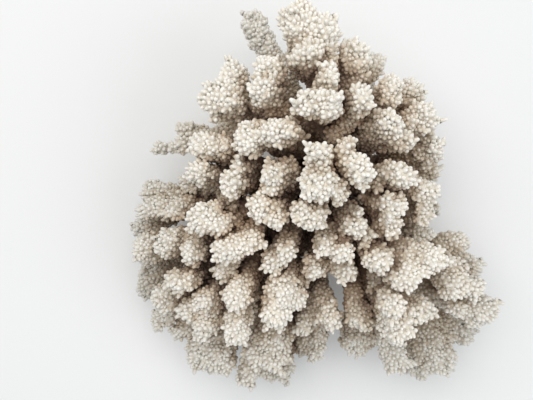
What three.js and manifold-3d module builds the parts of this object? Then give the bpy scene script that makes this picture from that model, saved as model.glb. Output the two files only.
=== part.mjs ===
// A dry colony of branching coral, cut off flat at its foot. Millimetres, +Z up.
// The foot stands on z = 0, with the middle of the colony's plan over the origin.
// A short trunk forks into limbs, a limb forks into branches, and each branch ends in rounded lobes.
import * as THREE from "three";
import { mergeVertices } from "three/addons/utils/BufferGeometryUtils.js";
import Module from "manifold-3d";

const wasm = await Module();
wasm.setup();

const GAP = 0.3; // between two pieces that meet at a fork
const SIDES = 5; // faces round a lobe or a stalk
const TRUNK_SIDES = 14;

const trunk = {
  foot: [6, 8], // middle of the cut face
  crown: [6, 18], // middle of its top, so the trunk leans a little to the north
  lengthen: 1.15, // the cut face is longer from south to north than it is wide
  profile: [[0, 38], [7, 34], [16, 27], [25, 23], [32, 15]], // [height, radius]
  height: 36,
};

// Where the limbs start, deep inside the trunk, and how thick they are on the way to their forks.
const heart = new THREE.Vector3(6, 18, 18);
const LIMB_HEART = 9;
const LIMB_PARTING = 9.5; // radius where a limb parts into its arms
const LIMB_ROOT = 7.5; // radius of an arm at the parting
const LIMB_FORK = 6.5; // radius of an arm at its fork
const PARTING_START = 0.75; // the arms start this far along the thick arm, inside it
const MAIN_ROOT = 5; // radius of a branch where it leaves its fork
const SIDE_ROOT = 2.5; // radius of a side lobe where it parts from the branch
const NECK_AT = 0.42; // how far along a branch its lobes part
const SAG = 0.1; // how far an arm hangs below the straight line, as a share of its reach
const ARM_END = 0.6; // an arm comes to its end radius this many radii short of its end
const LEAST_SPREAD = 1; // a section drawn out by less than this is left round
const ROUND_SIDE = new THREE.Vector3(0.6, 0.8, 0); // which way the first corner of a round section faces

// The head of a lobe, in radii: full width is reached this far short of the tip, and the shoulder follows.
const head = { fullAt: 1.35, shoulderAt: 0.35, shoulder: 0.78, firstShare: 0.3 };

// Each limb has forks, and each fork carries named branches. A branch is a list of lobes:
// [x, y, z, radius] of the middle of a lobe, and for one drawn out sideways, [..., dx, dy] either way.
const limbs = {
  crown: {
    root: [3, 18, 52],
    forks: [
      {
        fork: [4, 21, 80],
        branches: {
          crown_top: [[-3, 10, 114, 8, 3, 0], [-3, 26, 117, 6], [9, 8, 104, 6]],
          crown_east: [[17, 18, 113, 7.5, 1.5, -2], [10, 28, 110, 5, 1, 3.5]],
        },
      },
      {
        fork: [0, 12, 70],
        branches: {
          crown_front: [[-3, -5, 101, 7.5], [-10, -2, 101, 7]],
        },
      },
    ],
  },
  north: {
    root: [0, 38, 44],
    forks: [
      {
        fork: [2, 50, 74],
        branches: {
          north_crown: [[2, 48, 113, 7.5], [-8, 49, 112, 7.5], [3, 65, 104, 6, 0, 5]],
          north_crest: [[2, 88, 100, 7, 2, 2], [-11, 94, 96, 9, 4, -2], [-9, 73, 103, 6.5, 4, 0]],
        },
      },
      {
        fork: [-10, 60, 44],
        branches: {
          north_low: [[-34, 103, 54, 8.5, 1.5, -2], [-8, 84, 60, 6.5]],
        },
      },
    ],
  },
  northwest: {
    root: [-9, 33, 42],
    forks: [
      {
        fork: [-14, 38, 68],
        branches: {
          northwest_high: [[-28, 58, 100, 7.5, 2, 0], [-25, 69, 97, 7.5, 2, 0]],
          northwest_inner: [[-20, 37, 105, 7.5, 4, 0], [-36, 34, 97, 7, 1, 4]],
        },
      },
      {
        fork: [-25, 40, 46],
        branches: {
          northwest_outer: [[-44, 54, 90, 7], [-53, 57, 87, 8, 2, 3.5], [-43, 70, 86, 7]],
          northwest_low: [
            [-69, 37, 48, 6],
            [-47, 53, 42, 8, 3, -3],
            [-76, 46, 50, 4.2],
            [-88, 34, 50, 4.2],
          ],
        },
      },
    ],
  },
  west: {
    root: [-13, 17, 42],
    forks: [
      {
        fork: [-11, 14, 64],
        branches: {
          west_inner: [[-23, 15, 97, 7, 1.5, 3.5], [-15, 21, 92, 6]],
          west_front: [[-30, 1, 93, 7, 0, 3], [-21, -4, 92, 7, 0, 3]],
        },
      },
      {
        fork: [-27, 20, 54],
        branches: {
          west_north: [[-60, 33, 81, 7, 5, 0], [-48, 31, 82, 6.5]],
          west_outer: [[-44, 12, 90, 7, 1, 2], [-40, 21, 90, 6.5]],
        },
      },
      {
        fork: [-38, 12, 38],
        branches: {
          west_far: [[-62, 19, 76, 7, 4.5, 0], [-47, 1, 74, 7], [-70, 13, 46, 8, 6, 0]],
          west_rim: [
            [-96, -2, 46, 6.5, 3, 0],
            [-79, -3, 56, 5.5, 5, 1.5],
            [-95, 10, 38, 6.5, 4, -1],
            [-101, -13, 30, 8],
          ],
        },
      },
    ],
  },
  southwest: {
    root: [-15, -4, 33],
    forks: [
      {
        fork: [-27, 0, 53],
        branches: {
          southwest_high: [[-60, -6, 85, 7.5, 1, 3], [-51, -9, 85, 6.5]],
          southwest_inner: [[-47, -22, 86, 6.5, 4, 0], [-33, -16, 85, 6.5], [-50, -34, 71, 6.5, 2, 0]],
        },
      },
      {
        fork: [-42, -8, 38],
        branches: {
          southwest_mid: [[-82, -21, 62, 7, 1, 3], [-67, -25, 71, 6.5, 0, 3.5]],
          southwest_rim: [[-97, -39, 30, 8], [-96, -24, 51, 7.5, 1, 4], [-100, -49, 26, 7]],
        },
      },
      {
        fork: [-42, -26, 36],
        branches: {
          southwest_low: [[-85, -53, 53, 7, 3, -3], [-75, -40, 70, 7, 4, 0], [-89, -66, 38, 7]],
        },
      },
      {
        fork: [-27, -20, 42],
        branches: {
          southwest_ridge: [[-43, -48, 78, 7, 0, 4], [-43, -67, 71, 7.5, 0, 6]],
          southwest_side: [[-61, -67, 61, 7.5], [-71, -57, 61, 6.5, 1, 0], [-60, -50, 67, 6.5]],
        },
      },
      {
        fork: [-34, -34, 28],
        branches: {
          southwest_foot: [[-66, -88, 40, 8, 2, -3], [-53, -91, 40, 8, 2, 3], [-78, -74, 36, 6.5]],
        },
      },
    ],
  },
  south: {
    root: [2, -7, 38],
    forks: [
      {
        fork: [-10, -6, 52],
        branches: {
          south_high: [[-17, -21, 85, 6.5], [-24, -30, 79, 6.5, 2, 0]],
          south_ridge: [[-23, -57, 77, 7.5, 0, 6], [-20, -43, 81, 6.5, 2, 0], [-10, -49, 73, 6]],
        },
      },
      {
        fork: [-14, -30, 32],
        branches: {
          south_low: [
            [-28, -86, 54, 6, 10, 1.5],
            [-25, -73, 55, 6],
            [-38, -99, 40, 7.5],
            [-20, -99, 32, 7, 5, 0],
          ],
        },
      },
      {
        fork: [8, 4, 60],
        branches: {
          front_left: [[3, -18, 88, 7], [12, -21, 88, 7.5]],
          front_right: [[17, -8, 94, 6.5, 0, 4], [25, -15, 85, 6]],
        },
      },
      {
        fork: [3, -12, 42],
        branches: {
          front_mid: [[15, -33, 77, 6, 0, 3.5], [-2, -32, 77, 7], [-8, -39, 66, 6]],
          front_low: [
            [3, -84, 37, 7.5],
            [8, -61, 65, 6, 0, 5],
            [-6, -66, 55, 6.5, 1, 4],
            [-7, -85, 29, 7],
          ],
        },
      },
    ],
  },
  southeast: {
    root: [25, -8, 33],
    forks: [
      {
        fork: [24, -4, 50],
        branches: {
          southeast_high: [[31, -27, 88, 7, 3, 0], [34, -42, 64, 5.5]],
          southeast_ridge: [[46, -37, 89, 5.5, 4.5, 3], [60, -27, 86, 5.2, 4, 2.5]],
        },
      },
      {
        fork: [26, -26, 36],
        branches: {
          southeast_front: [[43, -66, 76, 6.5, 1.5, 4], [39, -51, 83, 6.2, 0, 3], [56, -54, 76, 5.5, 5, -1]],
          southeast_low: [
            [25, -61, 64, 6.5, 3, -3.5],
            [21, -46, 60, 5.5],
            [49, -89, 46, 7, 4, -1.5],
            [27, -82, 36, 6.5, 6, 0],
          ],
        },
      },
      {
        fork: [46, -18, 38],
        branches: {
          far_east_high: [
            [86, -45, 67, 5.8],
            [74, -44, 70, 5.8, 4.5, 0],
            [77, -32, 67, 5.5],
            [82, -21, 52, 6.5, 3.5, -3],
            [94, -35, 40, 7.5],
          ],
        },
      },
      {
        fork: [50, -36, 30],
        branches: {
          far_east_tip: [[96, -59, 56, 6.5, 1, 4.5], [80, -57, 59, 5.5]],
          far_east_low: [
            [75, -77, 56, 6.5, 5.5, 1],
            [92, -77, 31, 7.5],
            [77, -92, 38, 7, 4, 0],
            [64, -98, 30, 7.5],
          ],
        },
      },
    ],
  },
  east: {
    root: [24, 16, 42],
    forks: [
      {
        fork: [23, 15, 61],
        branches: {
          east_front: [[40, 17, 98, 6.5, 3, -2], [30, 12, 88, 6]],
          east_inner: [[37, 1, 92, 6.5, 4, -0.5], [36, -11, 85, 6.5, 3.5, -1]],
        },
      },
      {
        fork: [35, 10, 46],
        branches: {
          east_side: [[56, 9, 82, 6.5, 3, -1], [57, -3, 73, 7]],
          east_under: [[59, -15, 58, 6.5, 3, -1], [68, 2, 42, 7]],
        },
      },
      {
        fork: [40, 26, 42],
        branches: {
          east_rim: [[62, 32, 68, 7, 3, -2.5], [66, 20, 54, 6.5, 3.5, 0]],
        },
      },
    ],
  },
  northeast: {
    root: [17, 35, 42],
    forks: [
      {
        fork: [24, 36, 60],
        branches: {
          northeast_high: [[34, 42, 97, 6.5, 3, -3], [42, 33, 93, 5.5], [56, 47, 78, 7, 3, -3]],
          northeast_outer: [[37, 62, 88, 6, 0, 4], [52, 63, 68, 6.5, 2.5, -3]],
        },
      },
      {
        fork: [13, 45, 67],
        branches: {
          northeast_inner: [[19, 54, 105, 6, 0, 4], [6, 37, 85, 4.5]],
          northeast_crest: [[18, 80, 88, 6.5, 3.5, -2], [32, 78, 68, 7]],
        },
      },
      {
        fork: [22, 44, 34],
        branches: {
          northeast_low: [[30, 70, 44, 7], [12, 78, 48, 7], [48, 54, 42, 7]],
        },
      },
    ],
  },
};

const point = (place) => new THREE.Vector3(place[0], place[1], place[2]);

// Turns a closed three.js geometry into a solid that can be joined and cut.
function solidFrom(geometry) {
  geometry.deleteAttribute("normal");
  geometry.deleteAttribute("uv");
  const merged = mergeVertices(geometry, 1e-3);
  return new wasm.Manifold(
    new wasm.Mesh({
      numProp: 3,
      vertProperties: merged.attributes.position.array,
      triVerts: new Uint32Array(merged.index.array),
    }),
  );
}

// A turned profile bent along a curve. The profile is a list of [distance along, radius].
// Its section is drawn out by the spread vector either way, in step with its radius.
function bentTurning(curve, profile, sides, spread = new THREE.Vector3()) {
  const length = curve.getLength();
  const widest = Math.max(...profile.map(([, radius]) => radius));
  const outline = profile.map(([along, radius]) => new THREE.Vector2(radius, along));
  outline.unshift(new THREE.Vector2(0, profile[0][0]));
  outline.push(new THREE.Vector2(0, length));
  const geometry = new THREE.LatheGeometry(outline, sides);
  const chord = curve.getPointAt(1).sub(curve.getPointAt(0)).normalize();
  const across = spread.clone().addScaledVector(chord, -spread.dot(chord));
  const reach = across.length();
  if (reach < LEAST_SPREAD) across.crossVectors(chord, ROUND_SIDE);
  const position = geometry.attributes.position;
  for (let i = 0; i < position.count; i++) {
    const share = Math.min(1, position.getY(i) / length);
    const tangent = curve.getTangentAt(share);
    const side = across.clone().addScaledVector(tangent, -across.dot(tangent)).normalize();
    const other = new THREE.Vector3().crossVectors(side, tangent);
    const place = curve.getPointAt(share);
    place.addScaledVector(side, position.getX(i) * (1 + reach / widest));
    place.addScaledVector(other, position.getZ(i));
    position.setXYZ(i, place.x, place.y, place.z);
  }
  return solidFrom(geometry);
}

function joined(solids) {
  return solids.reduce((all, solid) => all.add(solid));
}

// The foot and trunk: a leaning, slightly oval turning with a flat cut face.
function trunkSolid(extra) {
  const outline = trunk.profile.map(([height, radius]) => new THREE.Vector2(radius + extra, height));
  outline.unshift(new THREE.Vector2(0, 0));
  outline.push(new THREE.Vector2(0, trunk.height + extra));
  const geometry = new THREE.LatheGeometry(outline, TRUNK_SIDES);
  geometry.rotateX(Math.PI / 2);
  const position = geometry.attributes.position;
  for (let i = 0; i < position.count; i++) {
    const rise = position.getZ(i) / trunk.height;
    const x = position.getX(i) + THREE.MathUtils.lerp(trunk.foot[0], trunk.crown[0], rise);
    const y = position.getY(i) * trunk.lengthen + THREE.MathUtils.lerp(trunk.foot[1], trunk.crown[1], rise);
    position.setXYZ(i, x, y, position.getZ(i));
  }
  return solidFrom(geometry);
}

// One arm of a limb, tapering from one place to another.
function armSolid(from, to, fromRadius, toRadius, extra) {
  const middle = from.clone().lerp(to, 0.5);
  middle.z -= SAG * Math.hypot(to.x - from.x, to.y - from.y);
  const curve = new THREE.CatmullRomCurve3([from, middle, to]);
  const profile = [
    [0, fromRadius + extra],
    [curve.getLength() - toRadius * ARM_END, toRadius + extra],
  ];
  return bentTurning(curve, profile, SIDES);
}

// One lobe: a club that follows a curve from its root, swells, and ends in a rounded head.
function lobeSolid(route, lobe, rootRadius, extra) {
  const middle = point(lobe);
  const radius = lobe[3];
  const spread = new THREE.Vector3(lobe[4] ?? 0, lobe[5] ?? 0, 0);
  const outward = middle.clone().sub(route[route.length - 1]).normalize();
  const lean = middle.clone().sub(heart).normalize();
  const tip = middle.clone().addScaledVector(outward.add(lean).normalize(), radius + extra);
  const curve = new THREE.CatmullRomCurve3([...route, middle, tip]);
  const length = curve.getLength() - extra;
  const profile = [
    [0, rootRadius + extra],
    [Math.max(length - radius * head.fullAt, length * head.firstShare), radius + extra],
    [length - radius * head.shoulderAt, radius * head.shoulder + extra],
  ];
  return bentTurning(curve, profile, SIDES, spread);
}

// A branch: its first lobe runs on from the fork, and the others part from it at the neck.
function branchSolid(fork, lobes, extra) {
  const mean = new THREE.Vector3();
  lobes.forEach((lobe) => mean.addScaledVector(point(lobe), 1 / lobes.length));
  const neck = fork.clone().lerp(mean, NECK_AT);
  const parts = lobes.map((lobe, i) =>
    i === 0 ? lobeSolid([fork, neck], lobe, MAIN_ROOT, extra) : lobeSolid([neck], lobe, SIDE_ROOT, extra),
  );
  return joined(parts);
}

// A limb: a thick arm from the trunk to its root, where it parts into an arm for each fork.
function limbSolid({ root, forks }, extra) {
  const parting = point(root);
  const start = heart.clone().lerp(parting, PARTING_START);
  const arms = forks.map(({ fork }) => armSolid(start, point(fork), LIMB_ROOT, LIMB_FORK, extra));
  return joined([armSolid(heart, parting, LIMB_HEART, LIMB_PARTING, extra), ...arms]);
}

// Every piece in the order it is fitted: each is cut back from those that are there already.
function pieceList() {
  const pieces = [{ name: "base", make: trunkSolid, shade: "stalk" }];
  for (const [name, limb] of Object.entries(limbs)) {
    pieces.push({ name: `limb_${name}`, make: (extra) => limbSolid(limb, extra), shade: "stalk" });
  }
  for (const { fork, branches } of Object.values(limbs).flatMap(({ forks }) => forks)) {
    for (const [name, lobes] of Object.entries(branches)) {
      pieces.push({ name, make: (extra) => branchSolid(point(fork), lobes, extra), shade: "tip" });
    }
  }
  return pieces;
}

// The largest body of a solid: slivers that a cut leaves on the far side of a neighbour are dropped.
function largestBody(solid) {
  const bodies = solid.decompose();
  return bodies.reduce((best, body) => (body.volume() > best.volume() ? body : best));
}

function boxesMeet(a, b) {
  return [0, 1, 2].every((axis) => a.min[axis] < b.max[axis] && b.min[axis] < a.max[axis]);
}

function meshFrom(solid, name, shade) {
  const { vertProperties, triVerts } = solid.getMesh();
  const geometry = new THREE.BufferGeometry();
  geometry.setAttribute("position", new THREE.BufferAttribute(new Float32Array(vertProperties), 3));
  geometry.setIndex(new THREE.BufferAttribute(new Uint32Array(triVerts), 1));
  geometry.computeVertexNormals();
  const colour = shade === "tip" ? 0xe3dccd : 0x9c8064;
  const material = new THREE.MeshStandardMaterial({ color: colour, roughness: 0.85, metalness: 0 });
  const mesh = new THREE.Mesh(geometry, material);
  mesh.name = name;
  return mesh;
}

function buildColony() {
  const colony = new THREE.Group();
  const fitted = [];
  for (const { name, make, shade } of pieceList()) {
    let solid = make(0);
    for (const other of fitted) {
      if (boxesMeet(solid.boundingBox(), other.boundingBox())) solid = solid.subtract(other);
    }
    solid = largestBody(solid);
    fitted.push(make(GAP));
    colony.add(meshFrom(solid, name, shade));
  }
  const middle = new THREE.Box3().setFromObject(colony).getCenter(new THREE.Vector3());
  colony.position.set(-middle.x, -middle.y, 0);
  return colony;
}

export default buildColony();
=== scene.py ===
import math
import bmesh
import bpy
import numpy as np
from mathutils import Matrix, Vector
from mathutils.bvhtree import BVHTree
from mathutils.kdtree import KDTree


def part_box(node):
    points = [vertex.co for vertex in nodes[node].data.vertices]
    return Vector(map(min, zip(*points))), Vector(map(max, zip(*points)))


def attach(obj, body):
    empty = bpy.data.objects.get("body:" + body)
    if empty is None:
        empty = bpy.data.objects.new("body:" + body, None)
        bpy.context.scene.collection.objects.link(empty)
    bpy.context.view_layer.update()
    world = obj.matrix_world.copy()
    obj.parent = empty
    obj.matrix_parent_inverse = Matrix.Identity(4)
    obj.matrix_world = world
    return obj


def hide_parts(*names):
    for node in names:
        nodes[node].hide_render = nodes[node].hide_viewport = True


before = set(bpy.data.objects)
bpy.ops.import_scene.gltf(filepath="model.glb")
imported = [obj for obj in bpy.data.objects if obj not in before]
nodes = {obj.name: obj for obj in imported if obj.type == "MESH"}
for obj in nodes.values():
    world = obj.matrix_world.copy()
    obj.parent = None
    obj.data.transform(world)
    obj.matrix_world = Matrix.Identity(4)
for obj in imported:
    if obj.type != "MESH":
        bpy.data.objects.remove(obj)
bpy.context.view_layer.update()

# everything below is in metres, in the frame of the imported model
mm = 0.001
branchNames = sorted(n for n in nodes if n != "base" and not n.startswith("limb_"))
limbNames = sorted(n for n in nodes if n.startswith("limb_"))

footLow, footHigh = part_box("base")
northLean = 8 * mm
# the middle of the trunk, which every branch grows away from
heart = Vector((
    (footLow[0] + footHigh[0]) / 2,
    (footLow[1] + footHigh[1]) / 2 + northLean,
    footHigh[2] / 2))
depsgraph = bpy.context.evaluated_depsgraph_get()
treeOf = {name: BVHTree.FromObject(nodes[name], depsgraph) for name in nodes}
boxOf = {name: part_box(name) for name in nodes}


def makeCamera():
    settings = {"height": 395 * mm, "x": -24.8 * mm, "y": 1.5 * mm, "lens": 40.5}
    cameraData = bpy.data.cameras.new("camera")
    cameraData.lens = settings["lens"]
    cameraData.sensor_width = 36
    cameraData.dof.use_dof = False
    camera = bpy.data.objects.new("camera", cameraData)
    camera.location = (settings["x"], settings["y"], settings["height"])
    bpy.context.collection.objects.link(camera)
    bpy.context.scene.camera = camera


def addNode(tree, kind, values=None, **props):
    made = tree.nodes.new(kind)
    for key, value in props.items():
        setattr(made, key, value)
    for key, value in (values or {}).items():
        made.inputs[key].default_value = value
    return made


def addRamp(tree, stops):
    ramp = tree.nodes.new("ShaderNodeValToRGB")
    elements = ramp.color_ramp.elements
    while len(elements) < len(stops):
        elements.new(0.5)
    for element, (place, colour) in zip(elements, stops):
        element.position = place
        element.color = (*colour, 1)
    return ramp


def mixColour(tree, blend, factor, first, second):
    mixer = addNode(tree, "ShaderNodeMix", data_type="RGBA", blend_type=blend)
    for socket, source in ((0, factor), (6, first), (7, second)):
        if isinstance(source, bpy.types.NodeSocket):
            tree.links.new(source, mixer.inputs[socket])
        else:
            mixer.inputs[socket].default_value = source
    return mixer.outputs[2]


def mathNode(tree, operation, first, second, clamp=False):
    made = addNode(tree, "ShaderNodeMath", operation=operation, use_clamp=clamp)
    for socket, source in ((0, first), (1, second)):
        if isinstance(source, bpy.types.NodeSocket):
            tree.links.new(source, made.inputs[socket])
        else:
            made.inputs[socket].default_value = source
    return made.outputs[0]


def makeSkeletonTint():
    # the first mask runs from 0 at the forks and in hemmed-in places to 1 at the open tips: a real stain
    # along each branch plus painted shade where the colony hems a point in; wart runs from 0 in the valleys
    # to 1 on a wart's top
    group = bpy.data.node_groups.new("skeletonTint", "ShaderNodeTree")
    sockets = group.interface
    for name, start in (("growthAndShade", 1.0), ("wart", 0.5), ("stain", 0.5), ("algae size", 0.0)):
        sockets.new_socket(name, in_out="INPUT", socket_type="NodeSocketFloat").default_value = start
    sockets.new_socket("algae place", in_out="INPUT", socket_type="NodeSocketVector")
    sockets.new_socket("colour", in_out="OUTPUT", socket_type="NodeSocketColor")
    sockets.new_socket("roughness", in_out="OUTPUT", socket_type="NodeSocketFloat")
    inside = group.nodes.new("NodeGroupInput")
    outside = group.nodes.new("NodeGroupOutput")
    link = group.links.new

    place = addNode(group, "ShaderNodeTexCoord").outputs["Object"]
    broad = addNode(group, "ShaderNodeTexNoise", {"Scale": 45, "Detail": 2, "Roughness": 0.5})
    patch = addNode(group, "ShaderNodeTexNoise", {"Scale": 210, "Detail": 3, "Roughness": 0.55})
    grain = addNode(group, "ShaderNodeTexNoise", {"Scale": 1500, "Detail": 2, "Roughness": 0.6})
    for noise in (broad, patch, grain):
        link(place, noise.inputs["Vector"])

    # the stain creeps further up some branches than others
    wander = mathNode(group, "MULTIPLY", mathNode(group, "SUBTRACT", broad.outputs[0], 0.5), 0.5)
    blotch = mathNode(group, "MULTIPLY", mathNode(group, "SUBTRACT", patch.outputs[0], 0.5), 0.22)
    height = mathNode(group, "ADD", inside.outputs["growthAndShade"], mathNode(group, "ADD", wander, blotch))
    stain = mathNode(group, "MULTIPLY", mathNode(group, "SUBTRACT", inside.outputs["stain"], 0.5), 0.6)
    height = mathNode(group, "SUBTRACT", height, stain, clamp=True)

    tops = addRamp(group, (
        (0.0, (0.16, 0.105, 0.080)), (0.3, (0.27, 0.187, 0.137)), (0.48, (0.45, 0.350, 0.262)),
        (0.66, (0.70, 0.625, 0.515)), (0.84, (0.87, 0.840, 0.770)), (1.0, (0.93, 0.915, 0.870))))
    # painted shade: the valleys between the warts take these darker colours
    valleyShade = addRamp(group, (
        (0.0, (0.10, 0.062, 0.047)), (0.3, (0.19, 0.127, 0.093)), (0.5, (0.37, 0.280, 0.204)),
        (0.75, (0.61, 0.525, 0.420)), (1.0, (0.77, 0.728, 0.645))))
    link(height, tops.inputs[0])
    link(height, valleyShade.inputs[0])
    wart = mathNode(group, "POWER", inside.outputs["wart"], 0.75)
    wart = mathNode(group, "ADD", wart, mathNode(group, "MULTIPLY", blotch, 0.8), clamp=True)
    # the wart mask lays the painted valley shade under the lighter wart tops
    colour = mixColour(group, "MIX", wart, valleyShade.outputs[0], tops.outputs[0])
    speckle = addRamp(group, ((0.3, (0.86, 0.83, 0.79)), (0.62, (1, 1, 1))))
    link(grain.outputs[0], speckle.inputs[0])
    colour = mixColour(group, "MULTIPLY", 0.8, colour, speckle.outputs[0])
    # warm patches where the stain has crept up between the warts
    warmth = mathNode(group, "MULTIPLY_ADD", broad.outputs[0], 3.2)
    warmth.node.inputs[2].default_value = -1.3
    warmth.node.use_clamp = True
    stained = mathNode(group, "SUBTRACT", 1.12, height, clamp=True)
    warmth = mathNode(group, "MULTIPLY", warmth, stained, clamp=True)
    colour = mixColour(group, "MULTIPLY", warmth, colour, (1.0, 0.83, 0.66, 1))
    # painted shade and reflection: the low heads at the rim are painted greyer and cooler than the ones on
    # top
    apart = addNode(group, "ShaderNodeSeparateXYZ")
    link(place, apart.inputs[0])
    lowShade = addNode(group, "ShaderNodeMapRange", {"From Min": 85 * mm, "From Max": 20 * mm})
    link(apart.outputs["Z"], lowShade.inputs["Value"])
    colour = mixColour(group, "MULTIPLY", lowShade.outputs[0], colour, (0.74, 0.745, 0.745, 1))
    # a faint yellow patch of dried algae
    apartFrom = addNode(group, "ShaderNodeVectorMath", operation="DISTANCE")
    link(place, apartFrom.inputs[0])
    link(inside.outputs["algae place"], apartFrom.inputs[1])
    patchy = mathNode(group, "MULTIPLY", patch.outputs[0], 1.4)
    closeness = mathNode(group, "DIVIDE", apartFrom.outputs["Value"], inside.outputs["algae size"])
    algae = mathNode(group, "SUBTRACT", patchy, closeness, clamp=True)
    colour = mixColour(group, "MULTIPLY", algae, colour, (0.93, 0.86, 0.42, 1))
    link(colour, outside.inputs["colour"])
    rough = mathNode(group, "MULTIPLY", grain.outputs[0], 0.25)
    link(mathNode(group, "ADD", rough, 0.68, clamp=True), outside.inputs["roughness"])
    return group


def makeCoralliteBump():
    # fine cups and grain over the whole skeleton
    group = bpy.data.node_groups.new("coralliteBump", "ShaderNodeTree")
    sockets = group.interface
    for name, start in (("cup size", 0.7), ("depth", 0.5)):
        sockets.new_socket(name, in_out="INPUT", socket_type="NodeSocketFloat").default_value = start
    sockets.new_socket("normal", in_out="OUTPUT", socket_type="NodeSocketVector")
    inside = group.nodes.new("NodeGroupInput")
    outside = group.nodes.new("NodeGroupOutput")
    link = group.links.new

    place = addNode(group, "ShaderNodeTexCoord").outputs["Object"]
    perMetre = mathNode(group, "DIVIDE", 1000.0, inside.outputs["cup size"])
    cups = addNode(group, "ShaderNodeTexVoronoi", {"Randomness": 0.8}, feature="F1")
    grain = addNode(group, "ShaderNodeTexNoise", {"Detail": 3, "Roughness": 0.65})
    for texture, factor in ((cups, 1.0), (grain, 2.2)):
        link(place, texture.inputs["Vector"])
        link(mathNode(group, "MULTIPLY", perMetre, factor), texture.inputs["Scale"])
    roughened = mathNode(group, "MULTIPLY", grain.outputs[0], 0.5)
    height = mathNode(group, "ADD", cups.outputs["Distance"], roughened)
    bump = addNode(group, "ShaderNodeBump", {"Distance": 0.35 * mm})
    link(height, bump.inputs["Height"])
    link(inside.outputs["depth"], bump.inputs["Strength"])
    link(bump.outputs[0], outside.inputs["normal"])
    return group


skeletonTint = makeSkeletonTint()
coralliteBump = makeCoralliteBump()


def makeSkeletonMaterial(name, settings, algaePlace=(0, 0, 0), algaeSize=0.01 * mm):
    material = bpy.data.materials.new(name)
    material.use_nodes = True
    tree = material.node_tree
    shader = tree.nodes["Principled BSDF"]
    shader.inputs["Specular IOR Level"].default_value = 0.3
    tint = addNode(tree, "ShaderNodeGroup", node_tree=skeletonTint)
    tint.inputs["stain"].default_value = settings["stain"]
    tint.inputs["algae place"].default_value = algaePlace
    tint.inputs["algae size"].default_value = algaeSize
    for mask in ("growthAndShade", "wart"):
        value = addNode(tree, "ShaderNodeAttribute", attribute_name=mask)
        tree.links.new(value.outputs["Fac"], tint.inputs[mask])
    bump = addNode(tree, "ShaderNodeGroup", node_tree=coralliteBump)
    bump.inputs["cup size"].default_value = settings["cupSize"]
    bump.inputs["depth"].default_value = settings["cupDepth"]
    tree.links.new(tint.outputs["colour"], shader.inputs["Base Color"])
    tree.links.new(tint.outputs["roughness"], shader.inputs["Roughness"])
    tree.links.new(bump.outputs["normal"], shader.inputs["Normal"])
    return material


def applyModifiers(thing):
    evaluated = thing.evaluated_get(bpy.context.evaluated_depsgraph_get())
    mesh = bpy.data.meshes.new_from_object(evaluated)
    thing.modifiers.clear()
    old = thing.data
    thing.data = mesh
    bpy.data.meshes.remove(old)


def numbersOf(mesh):
    count = len(mesh.vertices)
    places = np.empty(count * 3, np.float64)
    normals = np.empty(count * 3, np.float64)
    mesh.vertices.foreach_get("co", places)
    mesh.vertices.foreach_get("normal", normals)
    return places.reshape(-1, 3), normals.reshape(-1, 3)


def trianglesOf(mesh):
    mesh.calc_loop_triangles()
    corners = np.empty(len(mesh.loop_triangles) * 3, np.int32)
    mesh.loop_triangles.foreach_get("vertices", corners)
    return corners.reshape(-1, 3)


def tooNear(cells, key, spot, gap):
    # looks in the cells round a spot for one already taken
    x, y, z = key
    for i in (x - 1, x, x + 1):
        for j in (y - 1, y, y + 1):
            for k in (z - 1, z, z + 1):
                for other in cells.get((i, j, k), ()):
                    dx, dy, dz = spot[0] - other[0], spot[1] - other[1], spot[2] - other[2]
                    if dx ** 2 + dy ** 2 + dz ** 2 < gap * gap:
                        return True
    return False


triesPerGap = 8


def scatter(places, normals, corners, gap, rng):
    # points on these triangles, no two nearer than the gap
    a, b, c = (places[corners[:, k]] for k in range(3))
    areas = np.linalg.norm(np.cross(b - a, c - a), axis=1) / 2
    tries = int(areas.sum() / gap ** 2 * triesPerGap)
    if not tries:
        return np.empty((0, 3)), np.empty((0, 3))
    chosen = rng.choice(len(corners), tries, p=areas / areas.sum())
    u, v = rng.random(tries), rng.random(tries)
    flip = u + v > 1
    u[flip], v[flip] = 1 - u[flip], 1 - v[flip]
    weights = np.stack((1 - u - v, u, v), axis=1)[:, :, None]
    spots = (places[corners[chosen]] * weights).sum(axis=1)
    facing = (normals[corners[chosen]] * weights).sum(axis=1)
    facing /= np.linalg.norm(facing, axis=1)[:, None] + 1e-12
    keys = np.floor(spots / gap).astype(int).tolist()
    cells = {}
    taken = []
    for i, spot in enumerate(spots.tolist()):
        if not tooNear(cells, keys[i], spot, gap):
            cells.setdefault(tuple(keys[i]), []).append(spot)
            taken.append(i)
    return spots[taken], facing[taken]


def neighboursOf(name, margin):
    low, high = boxOf[name]
    found = []
    for other, (otherLow, otherHigh) in boxOf.items():
        meets = all(otherLow[k] - margin < high[k] and low[k] < otherHigh[k] + margin for k in range(3))
        if meets and other != name:
            found.append(other)
    return found


def hiddenInside(spot, others, depth):
    # true where a point lies deeper than this inside another piece
    deepest = 8 * mm
    for other in others:
        near, normal, _, distance = treeOf[other].find_nearest(spot, deepest)
        if near is not None and distance > depth and (spot - near).dot(normal) < 0:
            return True
    return False


def wholeTree():
    places, faces = [], []
    for node in nodes.values():
        start = len(places)
        places += [v.co.copy() for v in node.data.vertices]
        faces += [[start + i for i in p.vertices] for p in node.data.polygons]
    return BVHTree.FromPolygons(places, faces)


colonyTree = wholeTree()


def rayFan(count):
    # directions over a half ball about +Z, crowded towards its pole
    goldenTurn = 2.399963
    fan = []
    for k in range(count):
        rise = math.sqrt(1 - (k + 0.5) / count)
        turn = k * goldenTurn
        flat = math.sqrt(1 - rise * rise)
        fan.append((math.cos(turn) * flat, math.sin(turn) * flat, rise))
    return np.array(fan)


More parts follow.
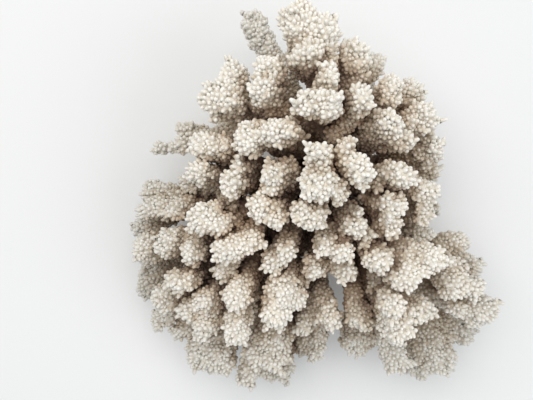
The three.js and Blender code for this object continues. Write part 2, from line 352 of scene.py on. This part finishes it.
def acrossFrom(axes):
    # two directions square to each axis
    upright = np.abs(axes[:, 2:3]) >= 0.9
    helper = np.where(upright, np.array([[1.0, 0.0, 0.0]]), np.array([[0.0, 0.0, 1.0]]))
    side = np.cross(helper, axes)
    side /= np.linalg.norm(side, axis=1)[:, None]
    return side, np.cross(axes, side)


# how far each point looks for a way out past the colony, which sets the painted shade, and how far off the
# solid it looks from
openSettings = {"rays": 12, "reach": 30 * mm, "lift": 2.0 * mm}
openFan = rayFan(openSettings["rays"])


def opennessAt(name, places, normals):
    # the share of the ways out from each point that no part of the colony blocks
    reach, lift = openSettings["reach"], openSettings["lift"]
    side, other = acrossFrom(normals)
    starts = []
    for place in places.tolist():
        near, normal, _, _ = treeOf[name].find_nearest(place)
        starts.append(near + normal * lift)
    starts = np.array(starts)
    free = np.zeros(len(places))
    for x, y, z in openFan:
        ways = side * x + other * y + normals * z
        rays = zip(starts.tolist(), ways.tolist())
        free += [colonyTree.ray_cast(start, way, reach)[0] is None for start, way in rays]
    return free / len(openFan)


def rootOf(name):
    # the middle of the corners nearest the heart, and the piece's reach from there
    cornersAtRoot = 6
    own, _ = numbersOf(nodes[name].data)
    fromHeart = np.linalg.norm(own - np.array(heart), axis=1)
    root = own[np.argsort(fromHeart)[:cornersAtRoot]].mean(axis=0)
    return root, np.linalg.norm(own - root, axis=1).max()


def growthAlong(name, places):
    # 0 where the piece leaves its fork, 1 at its far end, and the way from one to the other
    root, reach = rootOf(name)
    outward = places - root
    distance = np.linalg.norm(outward, axis=1)
    return distance / reach, outward / (distance[:, None] + 1e-9)


def evenedOut(values, corners, rounds):
    # each value drawn towards its neighbours'
    kept = 0.4
    pairs = np.concatenate((corners[:, (0, 1)], corners[:, (1, 2)], corners[:, (2, 0)]))
    count = np.bincount(pairs[:, 0], minlength=len(values)) + 1e-9
    for _ in range(rounds):
        around = np.bincount(pairs[:, 0], weights=values[pairs[:, 1]], minlength=len(values)) / count
        values = kept * values + (1 - kept) * around
    return values


# the weight of the real stain along each branch, the weight of the painted shade from openness, and the
# rounds of evening out
growthAndShadeSettings = {"along": 0.4, "open": 0.75, "evening": 6}


def growthAndShadeAt(name, places, normals, corners):
    # tips are far along their branch, where the real stain fades, and open to the light; the openness part
    # is painted shade, darker where the colony hems a point in
    along, _ = growthAlong(name, places)
    openness = evenedOut(opennessAt(name, places, normals), corners, growthAndShadeSettings["evening"])
    return np.clip(growthAndShadeSettings["along"] * along + growthAndShadeSettings["open"] * openness, 0, 1)


def treeOfPoints(places):
    tree = KDTree(len(places))
    for i, place in enumerate(places.tolist()):
        tree.insert(place, i)
    tree.balance()
    return tree


def makeSphereShape():
    form = bmesh.new()
    bmesh.ops.create_icosphere(form, subdivisions=2, radius=1)
    shape = [v.co.copy() for v in form.verts]
    faces = [[v.index for v in f.verts] for f in form.faces]
    form.free()
    return shape, faces


sphereShape = makeSphereShape()


def addRemesh(piece, size):
    remesh = piece.modifiers.new("remesh", "REMESH")
    remesh.mode = "VOXEL"
    remesh.voxel_size = size


def closedForm(name, settings):
    # the faceted solid, swelled and drawn back so that the pits between its lobes close
    piece = bpy.data.objects.new(name + "_coral", nodes[name].data.copy())
    bpy.context.collection.objects.link(piece)
    for swell in (settings["closing"], -settings["closing"]):
        addRemesh(piece, settings["voxel"])
        displace = piece.modifiers.new("swell", "DISPLACE")
        displace.mid_level = 0
        displace.strength = swell
    applyModifiers(piece)
    return piece


nubShape = {
    "leftOut": 0.15, "outOfFace": 0.8, "alongBranch": 0.5, "radius": (0.75, 1.15),
    "reach": (0.2, 1.2), "onTop": 0.7, "atRim": 0.8, "sunk": 0.6,
}


def addNubs(name, piece, settings, rng):
    # blunt fingers that break up the outline of each lobe
    places, normals = numbersOf(piece.data)
    spots, facing = scatter(places, normals, trianglesOf(piece.data), settings["nubGap"], rng)
    along, outward = growthAlong(name, spots)
    shape, faces = sphereShape
    form = bmesh.new()
    form.from_mesh(piece.data)
    for spot, normal, share, away in zip(spots, facing, along, outward):
        if share < settings["nubFrom"] or rng.random() < nubShape["leftOut"]:
            continue
        rim = max(float(normal @ away), 0)
        axis = Vector(normal * nubShape["outOfFace"] + away * nubShape["alongBranch"]).normalized()
        radius = settings["nubRadius"] * rng.uniform(*nubShape["radius"])
        push = settings["nubReach"] * rng.uniform(*nubShape["reach"])
        push *= nubShape["onTop"] + nubShape["atRim"] * rim
        middle = Vector(spot) + axis * (push - radius * nubShape["sunk"])
        made = [form.verts.new(middle + v * radius) for v in shape]
        for face in faces:
            form.faces.new([made[i] for i in face])
    form.to_mesh(piece.data)
    form.free()


def wornSmooth(piece, settings):
    addRemesh(piece, settings["voxel"])
    smooth = piece.modifiers.new("smooth", "SMOOTH")
    smooth.factor = 0.5
    smooth.iterations = settings["smoothing"]
    applyModifiers(piece)


def thicknessAt(name, places):
    # how far it is through the solid under each point
    startInside = 0.1 * mm
    through = []
    for place in places.tolist():
        near, normal, _, _ = treeOf[name].find_nearest(place)
        far = treeOf[name].ray_cast(near - normal * startInside, -normal)[3]
        through.append(far if far else 0)
    return np.array(through)


def raiseLobules(name, piece, settings, rng):
    # rounded swellings with furrows between them, stronger towards the tips
    mesh = piece.data
    places, normals = numbersOf(mesh)
    spots, _ = scatter(places, normals, trianglesOf(mesh), settings["lobuleGap"], rng)
    tree = treeOfPoints(spots)
    nearest = np.array([tree.find(p)[2] for p in places.tolist()])
    # 0 on top of a lobule, 1 in the furrow round it
    share = np.clip(nearest / (settings["lobuleGap"] * 0.75), 0, 1)
    along, _ = growthAlong(name, places)
    # faint on the stalk, full from seven tenths of the way to the tip
    strength = np.clip((along - 0.2) / 0.5, 0.15, 1)
    lift = (settings["lobuleRise"] * (1 - share ** 2) - settings["furrow"] * share ** 4) * strength
    # the heads are drawn in to leave room for their warts, and the roots meet what they grow from
    drawnIn = np.clip((along - 0.3) / 0.3, 0, 1)
    inset = np.minimum(settings["inset"], settings["thinShare"] * thicknessAt(name, places))
    lift += settings["rootSwell"] * (1 - drawnIn) - inset * drawnIn
    lift[places[:, 2] < settings["flatBelow"]] = 0
    places += normals * lift[:, None]
    # the cut face is dead flat, and nothing goes below it
    onCut = (places[:, 2] < settings["cutDepth"]) & (normals[:, 2] < -0.5)
    places[onCut, 2] = 0
    places[:, 2] = np.maximum(places[:, 2], 0)
    mesh.vertices.foreach_set("co", places.ravel())
    mesh.update()


# a wart is a small dome of rings with a point on top
wartSides = 6


def wartTemplate(levels):
    rings = []
    for height, width in levels:
        for k in range(wartSides):
            angle = 2 * math.pi * k / wartSides
            rings.append((math.cos(angle) * width, math.sin(angle) * width, height))
    rings.append((0, 0, 1))
    faces = []
    for level in range(len(levels) - 1):
        for k in range(wartSides):
            low, high = level * wartSides, (level + 1) * wartSides
            after = (k + 1) % wartSides
            faces.append((low + k, low + after, high + after))
            faces.append((low + k, high + after, high + k))
    top = (len(levels) - 1) * wartSides
    for k in range(wartSides):
        faces.append((top + k, top + (k + 1) % wartSides, top + wartSides))
    return np.array(rings), np.array(faces, np.int32)


fineWart = wartTemplate(((-0.15, 1.12), (0.45, 0.98), (0.85, 0.66)))
plainWart = wartTemplate(((-0.20, 1.1), (0.62, 0.8)))


def placeWarts(template, spots, axes, radii, heights, rng):
    shape, faces = template
    count = len(spots)
    spin = (rng.random(count) * 2 * math.pi)[:, None]
    side, other = acrossFrom(axes)
    sideSpun = side * np.cos(spin) + other * np.sin(spin)
    otherSpun = other * np.cos(spin) - side * np.sin(spin)
    verts = (spots[:, None, :]
             + sideSpun[:, None, :] * (shape[None, :, 0:1] * radii[:, None, None])
             + otherSpun[:, None, :] * (shape[None, :, 1:2] * radii[:, None, None])
             + axes[:, None, :] * (shape[None, :, 2:3] * heights[:, None, None]))
    offsets = np.arange(count)[:, None, None] * len(shape)
    wartFaces = (faces[None, :, :] + offsets).reshape(-1, 3)
    level = np.clip(np.tile(shape[:, 2], count), 0, 1)
    return verts.reshape(-1, 3), wartFaces, level


wartShape = {
    "underneath": -0.35, "hiddenFrom": 0.8 * mm, "tintJitter": 0.035, "leanJitter": 0.14,
    "fullFrom": 0.1, "fullOver": 0.55, "widest": 1.15,
    "leastWidth": 0.8, "leastHeight": 0.35, "onTop": 0.74, "atRim": 0.6,
    "widths": (0.85, 1.15), "heights": (0.75, 1.25),
}


def wartsFor(name, mesh, growthAndShade, settings, rng):
    # crowded over the open heads, thinner down the stalks and underneath
    places, normals = numbersOf(mesh)
    corners = trianglesOf(mesh)
    faceGrowthAndShade = growthAndShade[corners].mean(axis=1)
    faceRise = normals[corners, 2].mean(axis=1)
    crowded = (faceGrowthAndShade > settings["crowdFrom"]) & (faceRise > wartShape["underneath"])
    others = neighboursOf(name, 3 * mm)
    coreTree = treeOfPoints(places)
    fine = (fineWart, settings["wartGap"], crowded)
    plain = (plainWart, settings["sparseGap"], ~crowded)
    parts = []
    for template, gap, chosen in (fine, plain):
        if not chosen.any():
            continue
        spots, facing = scatter(places, normals, corners[chosen], gap, rng)
        keep = [
            spot[2] > settings["lowestWart"]
            and not hiddenInside(Vector(spot), others, wartShape["hiddenFrom"])
            for spot in spots]
        keep = np.array(keep, bool)
        spots, facing = spots[keep], facing[keep]
        if not len(spots):
            continue
        _, outward = growthAlong(name, spots)
        wartGrowthAndShade = growthAndShade[[coreTree.find(spot)[1] for spot in spots.tolist()]]
        wartGrowthAndShade = np.clip(wartGrowthAndShade + rng.normal(0, wartShape["tintJitter"], len(wartGrowthAndShade)), 0, 1)
        rim = np.clip((facing * outward).sum(axis=1), 0, 1)
        jitter = rng.normal(0, wartShape["leanJitter"], facing.shape)
        axes = facing + outward * settings["lean"] + jitter
        axes /= np.linalg.norm(axes, axis=1)[:, None]
        swell = np.clip((wartGrowthAndShade - wartShape["fullFrom"]) / wartShape["fullOver"], 0, 1)
        wide = min(gap / settings["wartGap"], wartShape["widest"])
        least, shortest = wartShape["leastWidth"], wartShape["leastHeight"]
        radii = settings["wartRadius"] * wide * (least + (1 - least) * swell)
        radii *= rng.uniform(*wartShape["widths"], len(spots))
        heights = settings["wartHeight"] * (shortest + (1 - shortest) * swell)
        heights *= wartShape["onTop"] + wartShape["atRim"] * rim
        heights *= rng.uniform(*wartShape["heights"], len(spots))
        verts, faces, level = placeWarts(template, spots, axes, radii, heights, rng)
        parts.append((verts, faces, np.repeat(wartGrowthAndShade, len(template[0])), level))
    return parts


def joinParts(piece, parts, material):
    # each part is its places, its triangles, its growth and painted shade, and its place up a wart
    offset = 0
    faces = []
    for part in parts:
        faces.append(part[1] + offset)
        offset += len(part[0])
    faces = np.concatenate(faces)
    mesh = bpy.data.meshes.new(piece.name)
    mesh.vertices.add(offset)
    mesh.vertices.foreach_set("co", np.concatenate([part[0] for part in parts]).ravel())
    mesh.loops.add(faces.size)
    mesh.loops.foreach_set("vertex_index", faces.ravel().astype(np.int32))
    mesh.polygons.add(len(faces))
    mesh.polygons.foreach_set("loop_start", np.arange(0, faces.size, 3, dtype=np.int32))
    mesh.update(calc_edges=True)
    mesh.polygons.foreach_set("use_smooth", np.ones(len(faces), bool))
    for name, slot in (("growthAndShade", 2), ("wart", 3)):
        values = mesh.attributes.new(name, "FLOAT", "POINT")
        values.data.foreach_set("value", np.concatenate([part[slot] for part in parts]).astype(np.float32))
    mesh.materials.append(material)
    old = piece.data
    piece.data = mesh
    bpy.data.meshes.remove(old)
    return len(faces)


def dressPiece(name, settings, material, seed):
    rng = np.random.default_rng(seed)
    piece = closedForm(name, settings)
    if "nubGap" in settings:
        addNubs(name, piece, settings, rng)
    wornSmooth(piece, settings)
    raiseLobules(name, piece, settings, rng)
    mesh = piece.data
    places, normals = numbersOf(mesh)
    growthAndShade = growthAndShadeAt(name, places, normals, trianglesOf(mesh))
    parts = [(places, trianglesOf(mesh), growthAndShade, np.zeros(len(places)))]
    parts += wartsFor(name, mesh, growthAndShade, settings, rng)
    count = joinParts(piece, parts, material)
    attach(piece, "root")
    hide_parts(name)
    return count


branchSettings = {
    "voxel": 1.7 * mm, "closing": 1.1 * mm, "smoothing": 3,
    "nubGap": 6.2 * mm, "nubRadius": 2.9 * mm, "nubReach": 2.3 * mm, "nubFrom": 0.45,
    "lobuleGap": 5.2 * mm, "lobuleRise": 1.1 * mm, "furrow": 1.9 * mm, "flatBelow": 1 * mm, "cutDepth": 0.0,
    "rootSwell": 1.3 * mm, "inset": 1.3 * mm, "thinShare": 0.1,
    "wartGap": 1.85 * mm, "sparseGap": 2.9 * mm, "crowdFrom": 0.36, "lowestWart": 2 * mm,
    "wartRadius": 1.18 * mm, "wartHeight": 1.95 * mm, "lean": 0.45,
    "stain": 0.5, "cupSize": 0.7, "cupDepth": 0.45, "firstSeed": 100,
}

# the two heads with a patch of dried algae on top, and the size of each patch
algaeOn = {"northeast_crest": 7 * mm, "northeast_inner": 6 * mm}


def branchMaterial(name):
    low, high = boxOf[name]
    top = ((low[0] + high[0]) / 2, (low[1] + high[1]) / 2, high[2])
    return makeSkeletonMaterial(name + "_skeleton", branchSettings, top, algaeOn[name])


def makeBranches():
    plain = makeSkeletonMaterial("branchSkeleton", branchSettings)
    total, most = 0, 0
    for seed, name in enumerate(branchNames, branchSettings["firstSeed"]):
        material = branchMaterial(name) if name in algaeOn else plain
        count = dressPiece(name, branchSettings, material, seed)
        total += count
        most = max(most, count)
    print("branches", len(branchNames), "triangles", total, "most", most)
    return total


limbSettings = {
    "voxel": 2.0 * mm, "closing": 1.0 * mm, "smoothing": 4,
    "lobuleGap": 7.0 * mm, "lobuleRise": 1.6 * mm, "furrow": 0.4 * mm, "flatBelow": 2 * mm, "cutDepth": 0.0,
    "rootSwell": 1.0 * mm, "inset": -1.2 * mm, "thinShare": 0.0,
    "wartGap": 2.3 * mm, "sparseGap": 3.4 * mm, "crowdFrom": 0.4, "lowestWart": 2 * mm,
    "wartRadius": 1.25 * mm, "wartHeight": 1.2 * mm, "lean": 0.3,
    "stain": 0.9, "cupSize": 0.8, "cupDepth": 0.6, "firstSeed": 300,
}


def makeLimbs():
    material = makeSkeletonMaterial("stalkSkeleton", limbSettings)
    total = 0
    for seed, name in enumerate(limbNames, limbSettings["firstSeed"]):
        total += dressPiece(name, limbSettings, material, seed)
    print("limbs", len(limbNames), "triangles", total)
    return total


footSettings = {
    "voxel": 2.0 * mm, "closing": 1.0 * mm, "smoothing": 3,
    "lobuleGap": 8.0 * mm, "lobuleRise": 0.8 * mm, "furrow": 0.8 * mm,
    "flatBelow": 2.5 * mm, "cutDepth": 1.2 * mm,
    "rootSwell": 0.0, "inset": 0.0, "thinShare": 0.0,
    "wartGap": 2.8 * mm, "sparseGap": 3.6 * mm, "crowdFrom": 0.5, "lowestWart": 2 * mm,
    "wartRadius": 1.25 * mm, "wartHeight": 0.9 * mm, "lean": 0.2,
    "stain": 0.8, "cupSize": 0.9, "cupDepth": 0.8, "firstSeed": 400,
}


def addSawnFace(material):
    # the cut face shows paler skeleton with faint saw marks across it
    settings = {"colour": (0.66, 0.60, 0.51, 1), "marks": 260, "depth": 0.2 * mm, "faceTop": 0.6 * mm}
    tree = material.node_tree
    shader = tree.nodes["Principled BSDF"]
    place = addNode(tree, "ShaderNodeTexCoord").outputs["Object"]
    apart = addNode(tree, "ShaderNodeSeparateXYZ")
    tree.links.new(place, apart.inputs[0])
    onFace = mathNode(tree, "LESS_THAN", apart.outputs["Z"], settings["faceTop"])
    marks = addNode(tree, "ShaderNodeTexWave", {"Scale": settings["marks"], "Distortion": 1.5, "Detail": 2})
    tree.links.new(place, marks.inputs["Vector"])
    tint = shader.inputs["Base Color"].links[0].from_socket
    tree.links.new(mixColour(tree, "MIX", onFace, tint, settings["colour"]), shader.inputs["Base Color"])
    bump = addNode(tree, "ShaderNodeBump", {"Distance": settings["depth"]})
    tree.links.new(marks.outputs["Fac"], bump.inputs["Height"])
    tree.links.new(onFace, bump.inputs["Strength"])
    tree.links.new(shader.inputs["Normal"].links[0].from_socket, bump.inputs["Normal"])
    tree.links.new(bump.outputs[0], shader.inputs["Normal"])


def makeFoot():
    material = makeSkeletonMaterial("footSkeleton", footSettings)
    addSawnFace(material)
    count = dressPiece("base", footSettings, material, footSettings["firstSeed"])
    print("foot triangles", count)
    return count


def makeFloor():
    settings = {"half": 12.0, "drop": 0.05 * mm, "colour": (0.80, 0.80, 0.79), "roughness": 0.9}
    mesh = bpy.data.meshes.new("floor")
    form = bmesh.new()
    half = settings["half"]
    plan = ((-half, -half), (half, -half), (half, half), (-half, half))
    form.faces.new([form.verts.new((x, y, -settings["drop"])) for x, y in plan])
    form.to_mesh(mesh)
    form.free()
    floor = bpy.data.objects.new("floor", mesh)
    bpy.context.collection.objects.link(floor)
    material = bpy.data.materials.new("floorPaint")
    material.use_nodes = True
    shader = material.node_tree.nodes["Principled BSDF"]
    shader.inputs["Base Color"].default_value = (*settings["colour"], 1)
    shader.inputs["Roughness"].default_value = settings["roughness"]
    mesh.materials.append(material)


keyLight = {"place": (-0.2, 0.3, 0.85), "side": 0.9, "power": 5.8, "colour": (1.0, 0.985, 0.96)}
fillLight = {"place": (0.9, -0.5, 0.9), "side": 1.2, "power": 6, "colour": (0.95, 0.98, 1.0)}
studioAir = {"colour": (0.93, 0.96, 1.0, 1), "strength": 0.55}


def addSoftbox(name, settings):
    # a square lamp that faces the middle of the colony
    aim = Vector((0, 0, 50 * mm))
    lightData = bpy.data.lights.new(name, "AREA")
    lightData.shape = "SQUARE"
    lightData.size = settings["side"]
    lightData.energy = settings["power"]
    lightData.color = settings["colour"]
    light = bpy.data.objects.new(name, lightData)
    light.location = settings["place"]
    light.rotation_euler = (aim - light.location).to_track_quat("-Z", "Y").to_euler()
    bpy.context.collection.objects.link(light)


def makeLights():
    addSoftbox("keyLight", keyLight)
    addSoftbox("fillLight", fillLight)
    world = bpy.data.worlds.new("studio")
    world.use_nodes = True
    background = world.node_tree.nodes["Background"]
    background.inputs["Color"].default_value = studioAir["colour"]
    background.inputs["Strength"].default_value = studioAir["strength"]
    bpy.context.scene.world = world
    bpy.context.scene.view_settings.view_transform = "Standard"


makeCamera()
makeLights()
makeFloor()
triangleCount = makeBranches() + makeLimbs() + makeFoot()
print("all triangles", triangleCount)
